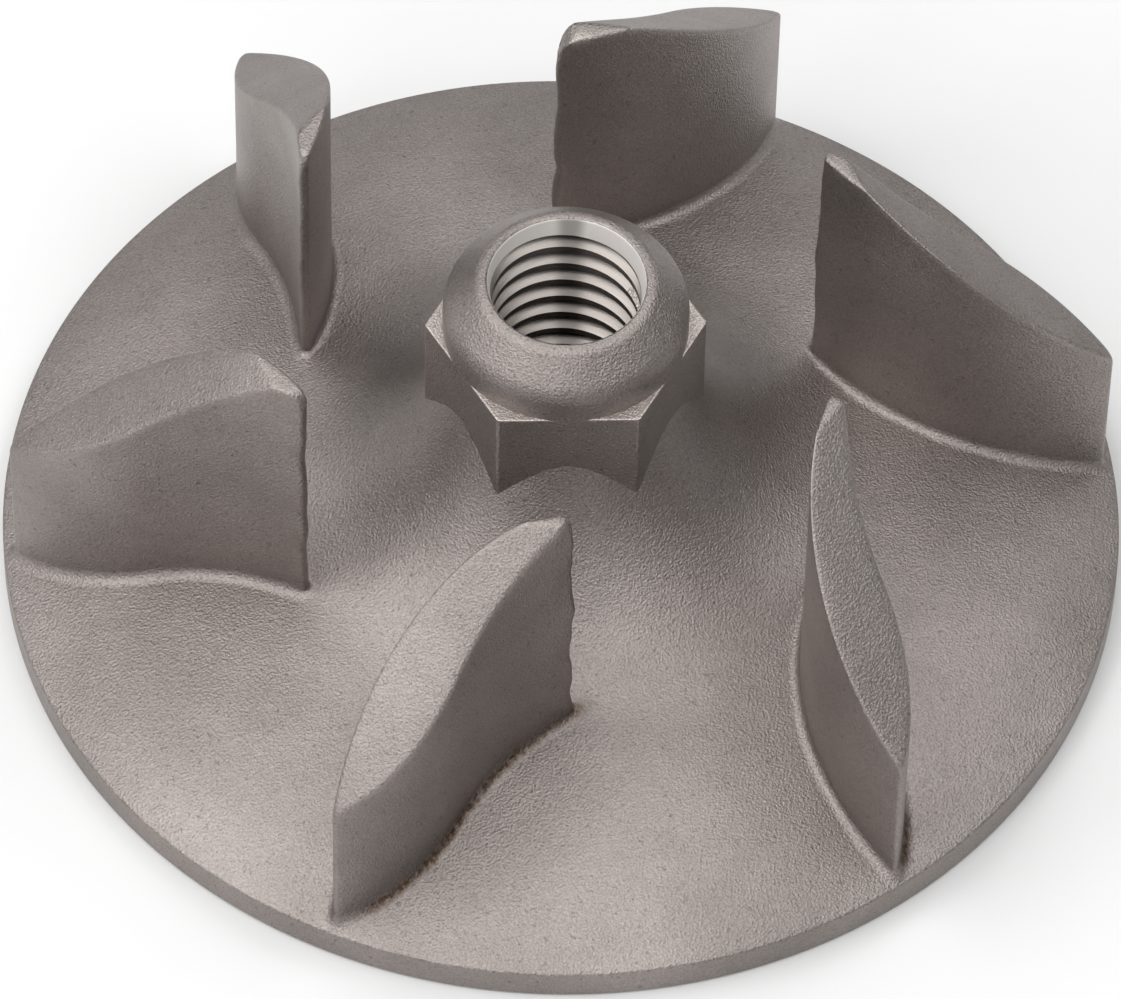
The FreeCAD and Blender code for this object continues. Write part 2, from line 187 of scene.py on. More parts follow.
def makeHexagon():
    bm = bmesh.new()
    ring = bmesh.ops.create_circle(bm, cap_ends=True, segments=6,
                                   radius=hub["flats"] / math.sqrt(3))
    first = ring["verts"][0].co
    toX = Matrix.Rotation(-math.atan2(first.y, first.x), 3, "Z")
    bmesh.ops.rotate(bm, verts=bm.verts[:], cent=(0, 0, 0), matrix=toX)
    bmesh.ops.translate(bm, verts=bm.verts[:], vec=(0, 0, hub["hexFoot"]))
    grown = bmesh.ops.extrude_face_region(bm, geom=bm.faces[:])
    top = [item for item in grown["geom"] if isinstance(item, bmesh.types.BMVert)]
    bmesh.ops.translate(bm, verts=top, vec=(0, 0, hub["hexHeight"] - hub["hexFoot"]))
    upright = [edge for edge in bm.edges
               if abs(edge.verts[0].co.z - edge.verts[1].co.z) > 1]
    bmesh.ops.bevel(bm, geom=upright, offset=hub["hexEdgeRound"] * math.tan(math.radians(30)),
                    segments=hub["hexEdgeSteps"], profile=0.5, affect="EDGES", material=-1)
    closeSolid(bm)
    rim = [edge for edge in bm.edges
           if min(vert.co.z for vert in edge.verts) > hub["hexHeight"] - 1e-3]
    bmesh.ops.bevel(bm, geom=rim, offset=hub["hexTopRound"], segments=hub["hexTopSteps"],
                    profile=0.5, affect="EDGES", material=-1)
    closeSolid(bm)
    return newObject("hexagon", bm)


def makeCollar():
    slope = math.radians(hub["crownSlope"])
    shelf = hub["hexHeight"] - hub["collarSunk"]
    wallTop = hub["hexHeight"] + hub["collarWall"]
    shoulderX = hub["collarRadius"] - hub["shoulderRound"]
    crownZ = hub["height"] - hub["crownRound"]
    # the slope runs between the two roundings that it touches
    startX = shoulderX + hub["shoulderRound"] * math.sin(slope)
    startZ = wallTop + hub["shoulderRound"] * math.cos(slope)
    rise = crownZ + hub["crownRound"] * math.cos(slope) - startZ
    endX = startX - rise / math.tan(slope)
    crownX = endX - hub["crownRound"] * math.sin(slope)
    bm, vert = startProfile(0, hub["collarFoot"])
    vert = lineTo(bm, vert, hub["collarRoot"], hub["collarFoot"])
    vert = lineTo(bm, vert, hub["collarRoot"], shelf)
    vert = lineTo(bm, vert, hub["collarRadius"], shelf)
    vert = lineTo(bm, vert, hub["collarRadius"], wallTop)
    vert = arcTo(bm, vert, shoulderX, wallTop, 90 - hub["crownSlope"], hub["roundSteps"])
    vert = lineTo(bm, vert, endX, startZ + rise)
    vert = arcTo(bm, vert, crownX, crownZ, hub["crownSlope"], hub["roundSteps"])
    lineTo(bm, vert, 0, hub["height"])
    turnProfile(bm, hub["turnSteps"])
    return newObject("collar", bm)


# Vanes: each is a strip from nose to tail, whose edge is carried down into the disc in rings

vane = {
    "count": 6,
    "noseReach": 17.2,
    "noseRound": 0.3,
    "noseAngle": -91.0,
    "tailReach": 31.6,
    "tailRound": 0.25,
    "tailSweep": 23.83,
    "fullRadius": 15.3,
    "hollowRadius": 21.7,
    "hookReach": 24.9,
    "hookSweep": 14.42,
    "noseHeight": 25.0,
    "tailHeight": 12.65,
    "topRound": 0.22,
    "footRound": 0.65,
    "lengthSteps": 64,
    "widthSteps": 6,
    "topSteps": 3,
    "wallSteps": 30,
    "footSteps": 7,
    "buried": 0.8,
    "rimGap": 0.02,
    # the vanes differ: one value each, counterclockwise from the one in front
    # run and drop of the worn upper corners
    "noseCorners": ((0.9, 1.1), (0.6, 0.7), (0.4, 0.4), (1.1, 1.6), (0.6, 0.8), (0.8, 1.0)),
    "noseLifts": (0.15, 0.15, 0.45, 0.8, 0.75, 0.7),   # how far the top rises above its slope
    "liftPower": 1.5,
    "noseSwells": (0.1, 0.25, 0.1, 0.5, 0.0, 0.05),    # and the hollow side beyond its arc
    "swellRun": 0.35,                # share of the length over which that fades
    "highest": 24.5,                 # where the rounded noses of the CAD model end
    "tailCorner": (0.4, 0.4),
    "endSteps": 3,                   # over which the ends of the top lose their roundness
    "ripple": 0.3,                   # unevenness of the leading edges
    "ripplePitch": 3.0,
    "rippleSteps": 2.2,              # over which it fades along the vane
    # share, fineness, and the two places where the noise is read
    "rippleParts": ((1, 1, 7.3, 0.5), (0.35, 2.7, 5.1, 3.5)),
    "footSwell": 0.18,               # share by which the foot's fillet varies
    "footWaves": 0.35,               # and how often
    "noseFoot": 0.5,                 # share of the fillet left at the nose, where a spur ends it
    "noseSteps": 1.6,                # over which the spur fades along the vane
    "spur": 0.5,
}


def circlesMeet(first, firstRadius, second, secondRadius):  # on the left of the line between them
    gap = second - first
    run = (gap.length ** 2 + firstRadius ** 2 - secondRadius ** 2) / (2 * gap.length)
    rise = math.sqrt(firstRadius ** 2 - run ** 2)
    unit = gap.normalized()
    return first + unit * run + Vector((-unit.y, unit.x, 0)) * rise


def arcBetween(centre, radius, start, end, bulge):  # bulge is 1 on a full arc, -1 on a hollow one
    first = math.atan2(start.y - centre.y, start.x - centre.x)
    last = math.atan2(end.y - centre.y, end.x - centre.x)
    sweep = (last - first + math.pi) % (2 * math.pi) - math.pi
    return {"centre": centre, "radius": radius, "first": first, "sweep": sweep, "bulge": bulge,
            "length": abs(sweep) * radius}


def spotOn(arcs, share):  # point and outward direction at a share of the way along some arcs
    distance = share * sum(arc["length"] for arc in arcs)
    for arc in arcs:
        if distance <= arc["length"] or arc is arcs[-1]:
            turn = arc["first"] + arc["sweep"] * distance / arc["length"]
            way = Vector((math.cos(turn), math.sin(turn), 0))
            return arc["centre"] + way * arc["radius"], way * arc["bulge"]
        distance -= arc["length"]


def vanePlan():
    origin = (0, 0)
    nose = onArc(origin, vane["noseReach"], vane["noseAngle"])
    tail = onArc(origin, vane["tailReach"], vane["noseAngle"] - vane["tailSweep"])
    turn = onArc(origin, vane["hookReach"], vane["noseAngle"] - vane["hookSweep"])
    full, hollow = vane["fullRadius"], vane["hollowRadius"]
    # the big arcs touch the roundings of the nose and the tail
    fullCentre = circlesMeet(nose, full - vane["noseRound"], tail, full - vane["tailRound"])
    hollowCentre = circlesMeet(nose, hollow + vane["noseRound"], turn, hollow)
    # the hook goes on from the hollow side and closes on the tail's rounding
    way = (turn - hollowCentre).normalized()
    reach = turn - tail
    hook = ((vane["tailRound"] ** 2 - reach.length_squared)
            / (2 * (way.dot(reach) + vane["tailRound"])))
    hookCentre = turn + way * hook
    noseFull = fullCentre + (nose - fullCentre).normalized() * full
    tailFull = fullCentre + (tail - fullCentre).normalized() * full
    noseHollow = hollowCentre + (nose - hollowCentre).normalized() * hollow
    tailHook = hookCentre + (tail - hookCentre).normalized() * hook
    fullSide = [arcBetween(fullCentre, full, noseFull, tailFull, 1)]
    behind = spotOn(fullSide, 0.1)[0]  # from here the nose points forward
    return {
        "full": fullSide,
        "hollow": [arcBetween(hollowCentre, hollow, noseHollow, turn, -1),
                   arcBetween(hookCentre, hook, turn, tailHook, 1)],
        "nose": [arcBetween(nose, vane["noseRound"], noseFull, noseHollow, 1)],
        "tail": [arcBetween(tail, vane["tailRound"], tailFull, tailHook, 1)],
        "noseWay": (noseFull + noseHollow - behind * 2).normalized(),
    }


plan = vanePlan()
noseEnd = onArc((0, 0), vane["noseReach"], vane["noseAngle"]) + plan["noseWay"] * vane["noseRound"]
noseTip = vane["noseReach"] - vane["noseRound"]
tailTip = vane["tailReach"] + vane["tailRound"]
topFall = (vane["noseHeight"] - vane["tailHeight"]) / (tailTip - noseTip)


def topHeight(spot, number):  # of a vane, with its worn corners
    outward = max(tailTip - spot.length, 0)
    height = vane["tailHeight"] + topFall * outward
    height += vane["noseLifts"][number] * (outward / (tailTip - noseTip)) ** vane["liftPower"]
    height = min(height, vane["highest"])
    inward = max((noseEnd - spot).dot(plan["noseWay"]), 0)
    for gap, size in ((inward, vane["noseCorners"][number]), (outward, vane["tailCorner"])):
        if gap < size[0]:
            height -= size[1] * (1 - math.sqrt(1 - (1 - gap / size[0]) ** 2))
    return height


def smooth(share):
    share = min(max(share, 0), 1)
    return share * share * (3 - 2 * share)


def makeVane(number):
    long, wide = vane["lengthSteps"], vane["widthSteps"]
    bm = bmesh.new()
    bmesh.ops.create_grid(bm, x_segments=long, y_segments=wide, size=1)
    along = bm.verts.layers.int.new("along")
    across = bm.verts.layers.int.new("across")
    outline = {}
    for vert in bm.verts:
        vert[along] = round((vert.co.x + 1) / 2 * long)
        vert[across] = round((vert.co.y + 1) / 2 * wide)
    for step in range(long + 1):
        outline[step, 0] = spotOn(plan["full"], step / long)
        outline[step, wide] = spotOn(plan["hollow"], step / long)
    for step in range(wide + 1):
        outline[0, step] = spotOn(plan["nose"], step / wide)
        outline[long, step] = spotOn(plan["tail"], step / wide)
    swellWay = spotOn(plan["hollow"], 0)[1]
    for (step, side), (spot, way) in outline.items():
        fade = smooth(1 - step / long / vane["swellRun"]) * side / wide
        outline[step, side] = (spot + swellWay * vane["noseSwells"][number] * fade, way)

    def place(vert, offset, height):  # outline point moved out, and rippled near the nose
        spot, way = outline[vert[along], vert[across]]
        spot = spot + way * offset
        near = math.exp(-(vert[along] / vane["rippleSteps"]) ** 2)
        wave = 0
        for share, fineness, column, row in vane["rippleParts"]:
            wave += share * noise.noise((height / vane["ripplePitch"] * fineness,
                                         number * column, row))
        spot += plan["noseWay"] * (near * wave * vane["ripple"])
        limit = disc["radius"] - vane["rimGap"]
        if spot.length > limit:
            spot = spot.normalized() * limit
        return spot

    def setTop(vert):
        edge = -vane["topRound"]
        near, far = (outline[vert[along], 0], outline[vert[along], wide])
        share = vert[across] / wide
        spot = (near[0] + near[1] * edge).lerp(far[0] + far[1] * edge, share)
        # the ends bulge as the nose and the tail do, less and less inward
        for end in (0, long):
            fade = max(0, 1 - abs(vert[along] - end) / vane["endSteps"])
            if fade:
                bulge = outline[end, vert[across]]
                chord = (outline[end, 0][0] + outline[end, 0][1] * edge).lerp(
                    outline[end, wide][0] + outline[end, wide][1] * edge, share)
                spot += (bulge[0] + bulge[1] * edge - chord) * fade
        vert.co = spot
        vert.co.z = topHeight(spot, number)

    for vert in bm.verts:
        setTop(vert)
    rings = []
    for part in ("top", "wall", "foot"):
        steps = vane[part + "Steps"]
        rings += [(part, step / steps) for step in range(1, steps + 1)]
    rings.append(("buried", 1))
    edges = [edge for edge in bm.edges if len(edge.link_faces) == 1]
    for part, share in rings:
        grown = bmesh.ops.extrude_edge_only(bm, edges=edges)["geom"]
        edges = [item for item in grown if isinstance(item, bmesh.types.BMEdge)]
        for vert in [item for item in grown if isinstance(item, bmesh.types.BMVert)]:
            base, way = outline[vert[along], vert[across]]
            waves = noise.noise(base * vane["footWaves"] + Vector((0, 0, number)))
            swell = 1 + vane["footSwell"] * waves
            atNose = math.exp(-(vert[along] / vane["noseSteps"]) ** 2)
            foot = vane["footRound"] * swell * (1 - (1 - vane["noseFoot"]) * atNose)
            topZ = topHeight(base, number) - vane["topRound"]
            footZ = faceHeight(base.length) + foot
            turn = share * math.pi / 2
            if part == "top":
                spot = place(vert, -vane["topRound"] * (1 - math.sin(turn)), topZ)
                height = topHeight(spot, number) - vane["topRound"] * (1 - math.cos(turn))
            elif part == "wall":
                height = topZ + (footZ - topZ) * share
                spot = place(vert, 0, height)
            elif part == "foot":
                spot = place(vert, foot * (1 - math.cos(turn)), footZ)
                spot += plan["noseWay"] * (vane["spur"] * atNose * (1 - math.cos(turn)))
                height = faceHeight(spot.length) + foot * (1 - math.sin(turn))
            else:
                spot = place(vert, foot, footZ)
                spot += plan["noseWay"] * (vane["spur"] * atNose)
                height = faceHeight(spot.length) - vane["buried"]
            vert.co = (spot.x, spot.y, height)
    bmesh.ops.edgeloop_fill(bm, edges=edges)
    bmesh.ops.rotate(bm, verts=bm.verts[:], cent=(0, 0, 0),
                     matrix=Matrix.Rotation(2 * math.pi * number / vane["count"], 3, "Z"))
    bmesh.ops.recalc_face_normals(bm, faces=bm.faces[:])
    mesh = bpy.data.meshes.new("vane")
    bm.to_mesh(mesh)
    bm.free()
    return mesh


def makeVanes():
    bm = bmesh.new()
    for number in range(vane["count"]):
        mesh = makeVane(number)
        bm.from_mesh(mesh)
        bpy.data.meshes.remove(mesh)
    return newObject("vanes", bm)


# Bore: a tap, a lead-in at the crown and a chamfer at the back, all cut out

bore = {
    "crestRadius": 4.25,
    "rootRadius": 5.0,
    "pitch": 1.5,
    "phase": 0.42,                   # shifts the thread along the axis
    "rootFlat": 0.19,
    "flankDegrees": 30.0,
    "turnSteps": 96,
    "below": 2.0,                    # how far the tap starts under the back
    "fadeStart": 22.55,              # the thread runs out below the lead-in
    "fadeEnd": 22.8,
    "tapTop": 22.9,
    "mouthStart": 22.5,
    "mouthRadius": 4.5,
    "mouthSunk": 0.3,
    "lip": 0.22,
    "lipDegrees": 80.0,
    "lipSteps": 4,
    "lipOver": 0.05,
    "above": 0.5,                    # how far the cutter ends over the crown
    "chamfer": 0.8,
    "chamferOver": 0.05,
    "behind": 1.0,                   # how far its cutter starts under the back
}


def makeTap():
    depth = bore["rootRadius"] - bore["crestRadius"]
    flank = depth * math.tan(math.radians(bore["flankDegrees"]))
    low = bore["pitch"] / 2 - bore["rootFlat"] / 2 - flank
    foot = bore["phase"] - bore["below"]
    bm, vert = startProfile(bore["crestRadius"], foot)
    for x, z in ((bore["crestRadius"], low), (bore["rootRadius"], low + flank),
                 (bore["rootRadius"], low + flank + bore["rootFlat"]),
                 (bore["crestRadius"], low + 2 * flank + bore["rootFlat"]),
                 (bore["crestRadius"], bore["pitch"])):
        vert = lineTo(bm, vert, x, z + foot)
    turns = math.ceil((bore["tapTop"] + bore["below"]) / bore["pitch"]) + 1
    bmesh.ops.spin(bm, geom=bm.verts[:] + bm.edges[:], cent=(0, 0, 0), axis=(0, 0, 1),
                   dvec=(0, 0, bore["pitch"] / bore["turnSteps"]), angle=2 * math.pi * turns,
                   steps=bore["turnSteps"] * turns)
    bmesh.ops.remove_doubles(bm, verts=bm.verts[:], dist=1e-3)
    fadeRun = bore["fadeEnd"] - bore["fadeStart"]
    for vert in bm.verts:
        share = min(max((bore["fadeEnd"] - vert.co.z) / fadeRun, 0), 1)
        limit = bore["crestRadius"] + depth * share
        reach = vert.co.xy.length
        if reach > limit:
            vert.co.xy *= limit / reach
    for height, way in ((bore["tapTop"], 1), (-bore["below"] / 2, -1)):
        bmesh.ops.bisect_plane(bm, geom=bm.verts[:] + bm.edges[:] + bm.faces[:], dist=1e-4,
                               plane_co=(0, 0, height), plane_no=(0, 0, way), clear_outer=True)
    rims = [edge for edge in bm.edges if len(edge.link_faces) == 1]
    bmesh.ops.edgeloop_fill(bm, edges=rims)
    closeSolid(bm)
    return newObject("tap", bm)


def makeLeadIn():
    slope = (bore["mouthRadius"] - bore["crestRadius"]) / (hub["height"] - bore["mouthStart"])
    low = bore["mouthStart"] - bore["mouthSunk"]
    lipFoot = hub["height"] - bore["lip"]
    lipRadius = bore["mouthRadius"] - slope * bore["lip"]
    bm, vert = startProfile(0, low)
    vert = lineTo(bm, vert, bore["crestRadius"] - slope * bore["mouthSunk"], low)
    vert = lineTo(bm, vert, lipRadius, lipFoot)
    vert = arcTo(bm, vert, lipRadius + bore["lip"], lipFoot, -bore["lipDegrees"], bore["lipSteps"])
    top = hub["height"] + bore["above"]
    vert = lineTo(bm, vert, vert.co.x + bore["lipOver"], top)
    lineTo(bm, vert, 0, top)
    turnProfile(bm, hub["turnSteps"])
    return newObject("leadIn", bm)


def makeBackChamfer():
    top = bore["chamfer"] + bore["chamferOver"]
    wide = bore["crestRadius"] + bore["chamfer"] + bore["behind"]
    bm, vert = startProfile(0, -bore["behind"])
    vert = lineTo(bm, vert, wide, -bore["behind"])
    vert = lineTo(bm, vert, bore["crestRadius"] - bore["chamferOver"], top)
    lineTo(bm, vert, 0, top)
    turnProfile(bm, hub["turnSteps"])
    return newObject("backChamfer", bm)


# Materials

def feed(tree, socket, value):  # links another node's output, or sets a number or a colour
    if isinstance(value, bpy.types.NodeSocket):
        tree.links.new(value, socket)
    else:
        socket.default_value = value


def addNode(tree, kind, settings=None, **inputs):
    node = tree.nodes.new(kind)
    for name, value in (settings or {}).items():
        setattr(node, name, value)
    for name, value in inputs.items():
        feed(tree, node.inputs[name.replace("_", " ")], value)
    return node


def calculate(tree, operation, first, second):
    node = addNode(tree, "ShaderNodeMath", {"operation": operation})
    for socket, value in zip(node.inputs, (first, second)):
        feed(tree, socket, value)
    return node.outputs["Value"]


def ramp(tree, value, span, shift, kind="LINEAR"):  # carries one span of numbers to another
    node = addNode(tree, "ShaderNodeMapRange", {"interpolation_type": kind}, Value=value)
    for name, number in zip(("From Min", "From Max", "To Min", "To Max"), span + shift):
        node.inputs[name].default_value = number
    return node.outputs["Result"]


def nearness(tree, value, near, far):  # 1 up to near, and 0 from far on
    return ramp(tree, value, (near, far), (1.0, 0.0), "SMOOTHSTEP")


def blend(tree, share, first, second, kind="MIX"):  # of two colours
    node = addNode(tree, "ShaderNodeMix", {"data_type": "RGBA", "blend_type": kind}, Factor=share)
    feed(tree, node.inputs[6], first)
    feed(tree, node.inputs[7], second)
    return node.outputs[2]


def distanceTo(tree, vector, spot):
    node = addNode(tree, "ShaderNodeVectorMath", {"operation": "DISTANCE"})
    feed(tree, node.inputs[0], vector)
    feed(tree, node.inputs[1], spot)
    return node.outputs["Value"]


def inPlan(tree, vector):  # seen from above, without its height
    node = addNode(tree, "ShaderNodeVectorMath", {"operation": "MULTIPLY"})
    feed(tree, node.inputs[0], vector)
    feed(tree, node.inputs[1], (1, 1, 0))
    return node.outputs["Vector"]


def newMaterial(name):
    material = bpy.data.materials.new(name)
    material.use_nodes = True
    tree = material.node_tree
    shader = next(node for node in tree.nodes if node.type == "BSDF_PRINCIPLED")
    place = addNode(tree, "ShaderNodeTexCoord")
    inMillimetres = addNode(tree, "ShaderNodeMapping", Vector=place.outputs["Object"],
                            Scale=(1000, 1000, 1000))
    return material, tree, shader, inMillimetres.outputs["Vector"]


blasted = {
    "darkTone": (0.27, 0.241, 0.227, 1),
    "lightTone": (0.335, 0.3, 0.284, 1),
    "mottle": {"Scale": 0.12, "Detail": 4.0, "Roughness": 0.6},
    "mottleSpan": (0.35, 0.65),
    "grain": {"Scale": 8.5, "Detail": 3.0, "Roughness": 0.55},
    "grainSpan": (0.3, 0.7),
    "grainTones": (0.77, 1.23),
    "grainRoughness": (0.36, 0.54),
    "grainBump": 0.00006,
    "peel": {"Scale": 6.0},
    "peelBump": 0.00003,
    "bumpStrength": 0.9,
    "pits": {"Scale": 3.4, "Detail": 1.0, "Roughness": 0.4},
    "pitSpan": (0.66, 0.76),
    "pitTones": (1.0, 0.7),
    "metallic": 1.0,
}

marks = {
    "stainTone": (0.1, 0.062, 0.04, 1),
    "stainCore": (0.1, 0.12),        # full this near to the wall, and to the face
    "stainWidth": 0.75,              # and gone from here on
    "stainShare": 0.6,               # of the reach, where it begins to fade
    # vane, arc of its hollow side, share of the way along it, reach
    "stains": ((0, 0, 0.45, 6.5), (0, 1, 0.35, 5.5), (1, 1, 0.78, 1.9)),
    "rubTone": (0.42, 0.385, 0.36, 1),
    "rubShare": 0.3,
    # vane, side, share of the way along it, reach
    "rubs": ((3, "full", 0.05, 0.9), (3, "full", 0.22, 0.6), (4, "nose", 0.5, 0.6),
             (5, "nose", 0.5, 0.6)),
    "patchiness": 1.7,               # how much the pits break up both
}


def turnTo(number):  # from the vane in front to another one
    return Matrix.Rotation(2 * math.pi * number / vane["count"], 3, "Z")


def stainMask(tree, place):  # dirt in the corner between a vane's hollow side and the face
    wallCore, faceCore = marks["stainCore"]
    flat = inPlan(tree, place)
    apart = addNode(tree, "ShaderNodeSeparateXYZ", Vector=place)
    section = addNode(tree, "ShaderNodeCombineXYZ", X=distanceTo(tree, flat, (0, 0, 0)),
                      Y=apart.outputs["Z"])
    lift = calculate(tree, "SUBTRACT", distanceTo(
        tree, section.outputs["Vector"], (faceCentre.x, faceCentre.y, 0)), disc["faceRadius"])
    low = nearness(tree, calculate(tree, "ABSOLUTE", lift, 0.0), faceCore, marks["stainWidth"])
    total = 0.0
    for number, index, share, size in marks["stains"]:
        arc = plan["hollow"][index]
        middle = turnTo(number) @ spotOn([arc], share)[0]
        middle.z = faceHeight(middle.length)
        centre = turnTo(number) @ arc["centre"]
        off = calculate(tree, "SUBTRACT", distanceTo(tree, flat, centre), arc["radius"])
        wall = nearness(tree, calculate(tree, "ABSOLUTE", off, 0.0), wallCore, marks["stainWidth"])
        around = nearness(tree, distanceTo(tree, place, middle), size * marks["stainShare"], size)
        total = calculate(tree, "MAXIMUM", calculate(tree, "MULTIPLY", wall, around), total)
    return calculate(tree, "MULTIPLY", total, low)


def rubMask(tree, place):  # spots on the top edges that are rubbed bright
    total = 0.0
    for number, side, share, size in marks["rubs"]:
        spot = spotOn(plan[side], share)[0]
        middle = turnTo(number) @ spot
        middle.z = topHeight(spot, number)
        around = nearness(tree, distanceTo(tree, place, middle), size * marks["rubShare"], size)
        total = calculate(tree, "MAXIMUM", around, total)
    return total


# a highlightGain above 1 gives a lighter copy of the steel, a painted highlight
def makeBlastedSteel(name, highlightGain):
    material, tree, shader, place = newMaterial(name)
    grain, mottle, pits = (
        addNode(tree, "ShaderNodeTexNoise", Vector=place, **blasted[part]).outputs["Fac"]
        for part in ("grain", "mottle", "pits"))
    peel = addNode(tree, "ShaderNodeTexVoronoi", Vector=place, **blasted["peel"])
    tone = blend(tree, ramp(tree, mottle, blasted["mottleSpan"], (0.0, 1.0)),
                 [value * highlightGain for value in blasted["darkTone"]],
                 [value * highlightGain for value in blasted["lightTone"]])
    both = calculate(tree, "MULTIPLY",
                     ramp(tree, pits, blasted["pitSpan"], blasted["pitTones"]),
                     ramp(tree, grain, blasted["grainSpan"], blasted["grainTones"]))
    tone = blend(tree, 1.0, tone, both, "MULTIPLY")
    patches = calculate(tree, "MULTIPLY", pits, marks["patchiness"])
    for mask, mark in ((stainMask(tree, place), "stainTone"), (rubMask(tree, place), "rubTone")):
        tone = blend(tree, calculate(tree, "MULTIPLY", mask, patches), tone, marks[mark])
    tree.links.new(tone, shader.inputs["Base Color"])
    tree.links.new(ramp(tree, grain, (0.0, 1.0), blasted["grainRoughness"]),
                   shader.inputs["Roughness"])
    coarse = addNode(tree, "ShaderNodeBump", Strength=blasted["bumpStrength"],
                     Distance=blasted["peelBump"], Height=peel.outputs["Distance"])
    fine = addNode(tree, "ShaderNodeBump", Strength=blasted["bumpStrength"],
                   Distance=blasted["grainBump"], Height=grain, Normal=coarse.outputs["Normal"])
    tree.links.new(fine.outputs["Normal"], shader.inputs["Normal"])
    shader.inputs["Metallic"].default_value = blasted["metallic"]
    return material


machined = {
    "name": "machinedSteel",
    "tone": (0.275, 0.25, 0.232, 1),
    "roughness": (0.19, 0.39),
    "metallic": 0.88,
    "toolMarks": {"Scale": (0.15, 0.15, 9.0)},
}
turnedPaintedBright = {                           # the lead-in: its fine rings scatter the light, and its tone is a painted highlight
    "name": "turnedSteelPaintedBright",
    # painted highlight: a near-white tone, far lighter than the thread's own steel
    "tone": (0.9, 0.86, 0.82, 1),
    "roughness": (0.34, 0.54),
    "metallic": 0.3,
    "toolMarks": {"Scale": (0.15, 0.15, 16.0)},
}
toolLines = {
    "noise": {"Scale": 1.0, "Detail": 3.0},
    "bump": {"Strength": 0.25, "Distance": 0.00002},
}
paintedReflection = {                           # painted reflection: the dark line down the far side of the bore
    "heading": 85.5,
    "reach": 4.6,
    "core": 0.3,
    "edge": 1.15,
    "tone": (0.09, 0.08, 0.075, 1),
    "strength": 0.56,
}


def makeMachinedSteel(values):
    material, tree, shader, place = newMaterial(values["name"])
    stretched = addNode(tree, "ShaderNodeMapping", Vector=place, **values["toolMarks"])
    lines = addNode(tree, "ShaderNodeTexNoise", Vector=stretched.outputs["Vector"],
                    **toolLines["noise"]).outputs["Fac"]
    bump = addNode(tree, "ShaderNodeBump", Height=lines, **toolLines["bump"])
    tree.links.new(bump.outputs["Normal"], shader.inputs["Normal"])
    tree.links.new(ramp(tree, lines, (0.0, 1.0), values["roughness"]), shader.inputs["Roughness"])
    # painted reflection: the bore's tone darkens in a band at a fixed heading, where a dark thing
    # is mirrored
    spot = onArc((0, 0), paintedReflection["reach"], paintedReflection["heading"])
    dark = nearness(tree, distanceTo(tree, inPlan(tree, place), spot), paintedReflection["core"],
                    paintedReflection["edge"])
    tone = blend(tree, calculate(tree, "MULTIPLY", dark, paintedReflection["strength"]), values["tone"],
                 paintedReflection["tone"])
    tree.links.new(tone, shader.inputs["Base Color"])
    shader.inputs["Metallic"].default_value = values["metallic"]
    return material


# The casting

finish = {
    "sharpDegrees": 33.0,
    "flatArea": 1.0,                 # larger faces than this are shaded flat
    "hexRegion": (8.3, 4.0, 19.7),   # reach and heights where the hexagon's faces meet the flare
    "hexLean": 0.12,                 # faces that differ more than this in slope meet sharply
    "topLean": 0.4,
    "boreReach": 5.06,
    "boreFoot": 0.01,
    "bandReach": 4.502,              # the band is the lead-in, under the rounded lip
    "bandFoot": 22.62,
    "cornerHighlightGain": 1.6,               # painted highlight: how much lighter the hexagon's top corners are painted
}


def finishOf(face):  # 0 blasted, 1 machined, 2 turned (painted bright), 3 blasted corner of the hexagon, painted lighter
    middle = face.calc_center_median()
    reach = middle.xy.length
    onHexTop = abs(middle.z - hub["hexHeight"]) < hub["hexTopRound"]
    if onHexTop and reach < finish["hexRegion"][0] and face.normal.z > finish["topLean"]:
        return 3
    if middle.z > finish["bandFoot"] and reach < finish["bandReach"]:
        return 2
    if finish["boreFoot"] < middle.z < bore["tapTop"] and reach < finish["boreReach"]:
        return 1
    return 0


def looksSmooth(edge):
    if edge.calc_face_angle(math.pi) >= math.radians(finish["sharpDegrees"]):
        return False
    hexReach, hexLow, hexHigh = finish["hexRegion"]
    middle = (edge.verts[0].co + edge.verts[1].co) / 2
    if middle.xy.length < hexReach and hexLow < middle.z < hexHigh and edge.is_manifold:
        lean = abs(edge.link_faces[0].normal.z - edge.link_faces[1].normal.z)
        return lean < finish["hexLean"]
    return True


casting = makeDisc()
print("disc done")
combine(casting, makeHexagon(), "UNION")
combine(casting, makeCollar(), "UNION")
print("hub done")
combine(casting, makeVanes(), "UNION")
print("vanes done")
combine(casting, makeTap(), "DIFFERENCE")
combine(casting, makeLeadIn(), "DIFFERENCE")
combine(casting, makeBackChamfer(), "DIFFERENCE")
print("bore done")

casting.name = "castImpeller"
casting.data.name = "castImpeller"
bm = bmesh.new()
bm.from_mesh(casting.data)
bmesh.ops.remove_doubles(bm, verts=bm.verts[:], dist=2e-4)
for face in bm.faces:
    face.smooth = face.calc_area() < finish["flatArea"]
bmesh.ops.triangulate(bm, faces=[face for face in bm.faces if len(face.verts) > 4])
for face in bm.faces:
    face.material_index = finishOf(face)
for edge in bm.edges:
    edge.smooth = looksSmooth(edge)
openEdges = [edge for edge in bm.edges if len(edge.link_faces) != 2]
print("casting: %d faces, %d open edges" % (len(bm.faces), len(openEdges)))
bmesh.ops.scale(bm, verts=bm.verts[:], vec=(0.001, 0.001, 0.001))
casting.data.materials.clear()
casting.data.materials.append(makeBlastedSteel("blastedSteel", 1.0))
casting.data.materials.append(makeMachinedSteel(machined))
casting.data.materials.append(makeMachinedSteel(turnedPaintedBright))
casting.data.materials.append(makeBlastedSteel("blastedCornersPaintedHighlight", finish["cornerHighlightGain"]))
bm.to_mesh(casting.data)
bm.free()
print("triangles", sum(len(face.vertices) - 2 for face in casting.data.polygons))

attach(casting, "root")
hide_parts("impeller")
print("casting placed")

# Floor, light and camera

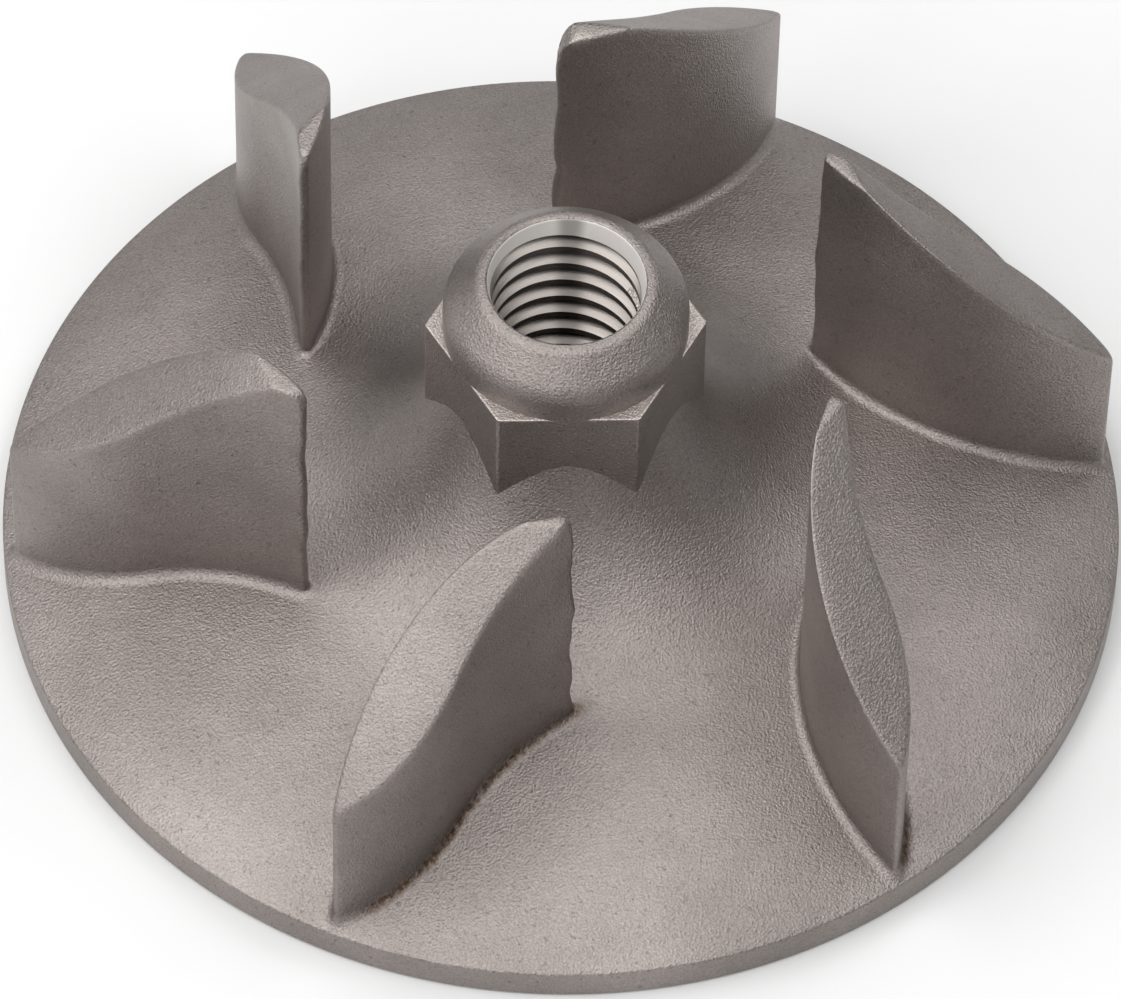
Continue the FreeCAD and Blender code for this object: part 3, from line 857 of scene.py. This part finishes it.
studio = {
    "floorSize": 6.0,
    "floorDrop": 0.00005,
    "floorRoughness": 0.9,
    "floorTone": (0.7, 0.7, 0.7, 1),
    "skyTone": (1.0, 1.0, 1.0, 1),
    "skyStrength": 0.16,
    "lightAway": 0.85,
    "lights": {                      # heading, elevation, width, height and radiance of each
        "left": (190, 60, 0.9, 0.5, 3.2),
        "right": (-12, 62, 0.9, 0.45, 2.4),
        "top": (-95, 80, 0.3, 0.5, 1.6),
        "side": (190, 28, 0.5, 0.3, 2.6),
        "back": (88, 48, 1.2, 0.35, 2.2),
        "front": (-108, 31, 0.8, 0.26, 3.3),
    },
}


def makeFloor():
    bm = bmesh.new()
    bmesh.ops.create_grid(bm, x_segments=1, y_segments=1, size=studio["floorSize"] / 2)
    bmesh.ops.translate(bm, verts=bm.verts[:], vec=(0, 0, -studio["floorDrop"]))
    floor = newObject("floor", bm)
    material = bpy.data.materials.new("paleFloor")
    material.use_nodes = True
    shader = next(node for node in material.node_tree.nodes if node.type == "BSDF_PRINCIPLED")
    shader.inputs["Base Color"].default_value = studio["floorTone"]
    shader.inputs["Roughness"].default_value = studio["floorRoughness"]
    floor.data.materials.append(material)


def addSoftbox(name, heading, elevation, width, height, radiance):  # looks at the casting
    light = bpy.data.lights.new(name, "AREA")
    light.shape = "RECTANGLE"
    light.size, light.size_y = width, height
    light.energy = radiance * math.pi * width * height
    lamp = bpy.data.objects.new(name, light)
    lamp.matrix_world = (Matrix.Rotation(math.radians(heading + 90), 4, "Z")
                         @ Matrix.Rotation(math.radians(90 - elevation), 4, "X")
                         @ Matrix.Translation((0, 0, studio["lightAway"])))
    bpy.context.scene.collection.objects.link(lamp)


makeFloor()
for name, values in studio["lights"].items():
    addSoftbox(name, *values)
world = bpy.data.worlds.new("studio")
world.use_nodes = True
background = world.node_tree.nodes["Background"]
background.inputs["Color"].default_value = studio["skyTone"]
background.inputs["Strength"].default_value = studio["skyStrength"]
bpy.context.scene.world = world
bpy.context.scene.view_settings.view_transform = "Standard"

view = {
    "spot": (-0.01399, -0.32814, 0.44136),
    "heading": -2.43,
    "elevation": 53.144,
    "roll": 1.352,
    "lens": 302.55,
}

lens = bpy.data.cameras.new("camera")
lens.sensor_width = 36
lens.lens = view["lens"]
lens.clip_end = 20
camera = bpy.data.objects.new("camera", lens)
bpy.context.scene.collection.objects.link(camera)
camera.matrix_world = (Matrix.Translation(view["spot"])
                       @ Matrix.Rotation(math.radians(view["heading"]), 4, "Z")
                       @ Matrix.Rotation(math.radians(90 - view["elevation"]), 4, "X")
                       @ Matrix.Rotation(math.radians(view["roll"]), 4, "Z"))
bpy.context.scene.camera = camera
print("studio done")
